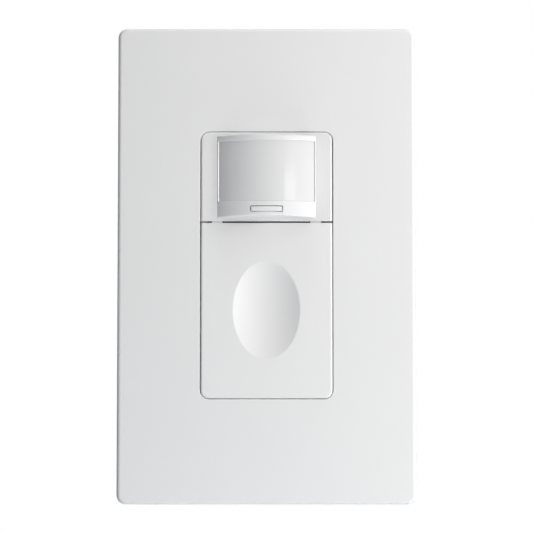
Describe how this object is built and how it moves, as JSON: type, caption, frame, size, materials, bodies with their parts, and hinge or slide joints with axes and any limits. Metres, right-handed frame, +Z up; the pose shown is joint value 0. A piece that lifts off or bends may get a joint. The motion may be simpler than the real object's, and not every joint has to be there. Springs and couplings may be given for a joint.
{
  "type": "motion sensor light switch",
  "caption": "Decorator-style wall switch with a curved motion sensor hood above a hinged press button with an oval dish, in a screwless cover plate, with strap, boards and rear housing.",
  "frame": {"origin": "on the wall's surface, midway between the two box screws", "axes": "+X to the right seen from the front, +Y into the wall along the box screws, +Z up along the plate's long side; the front faces -Y"},
  "size_m": [0.0746, 0.0424, 0.1192],
  "materials": {
    "plate_plastic": "white, satin moulded",
    "face_plastic": "white, satin moulded",
    "lens_plastic": "milky white, glossy, lets a little light through",
    "dark_plastic": "black, matt",
    "grey_plastic": "grey, matt",
    "trimmer_plastic": "blue, matt",
    "dial_plastic": "off-white, matt",
    "zinc_steel": "zinc plated",
    "green_steel": "green dyed plating",
    "brass": "plain",
    "fibre": "pressed fibre",
    "board": "solder mask",
    "photocell_ceramic": "clear coated ceramic",
    "led_plastic": "tinted clear",
    "relay_plastic": "blue, matt",
    "film_plastic": "yellow, glossy",
    "sleeve_plastic": "shrunk sleeve",
    "varistor_coat": "dipped coat",
    "resistor_coat": "flameproof coat",
    "housing_plastic": "black, fine texture"
  },
  "bodies": {
    "switch": {"wall_plate": "plate_plastic", "plate_bracket": "plate_plastic", "plate_screws": "zinc_steel", "mounting_strap": "zinc_steel", "box_screws": "zinc_steel", "screw_retainers": "fibre", "ground_screw": "green_steel", "front_frame": "face_plastic", "sensor_panel": "face_plastic", "sensor_lens": "lens_plastic", "lens_retainer": "dark_plastic", "status_window": "lens_plastic", "switch_body": "dark_plastic", "time_trimmer": "trimmer_plastic", "light_trimmer": "trimmer_plastic", "mode_switch": "zinc_steel", "control_board": "board", "board_screws": "zinc_steel", "pir_detector": "zinc_steel", "pir_filter": "dark_plastic", "photocell": "photocell_ceramic", "status_led": "led_plastic", "power_board": "board", "relay": "relay_plastic", "film_capacitor": "film_plastic", "storage_capacitor": "sleeve_plastic", "varistor": "varistor_coat", "fuse_resistor": "resistor_coat", "board_link": "dark_plastic", "rear_housing": "housing_plastic", "case_screws": "zinc_steel", "terminal_plates": "brass", "terminal_screws": "brass"},
    "press_button": {"button": "face_plastic"},
    "plunger": {"switch_plunger": "grey_plastic"},
    "time_knob": {"time_dial": "dial_plastic"},
    "light_knob": {"light_dial": "dial_plastic"},
    "mode_lever": {"mode_slider": "dark_plastic"}
  },
  "joints": [
    {"name": "button_hinge", "type": "hinge", "parent": "switch", "child": "press_button", "pos_m": [0, -0.004, 0.01222], "axis": [1, 0, 0], "range_deg": [0, 1.2], "stiffness_Nm_per_rad": 1.5, "springref_deg": -1.72},
    {"name": "plunger_slide", "type": "slide", "parent": "switch", "child": "plunger", "axis": [0, 1, 0], "range_m": [0, 0.0007]},
    {"name": "time_turn", "type": "hinge", "parent": "switch", "child": "time_knob", "pos_m": [-0.0095, 0, 0.0032], "axis": [0, 1, 0], "range_deg": [-135, 135]},
    {"name": "light_turn", "type": "hinge", "parent": "switch", "child": "light_knob", "pos_m": [0.0095, 0, 0.0032], "axis": [0, 1, 0], "range_deg": [-135, 135]},
    {"name": "mode_slide", "type": "slide", "parent": "switch", "child": "mode_lever", "axis": [1, 0, 0], "range_m": [-0.002, 0.002]}
  ],
  "couplings": [
    {"joint": "plunger_slide", "follows": "button_hinge", "m_per_rad": 0.031725}
  ]
}
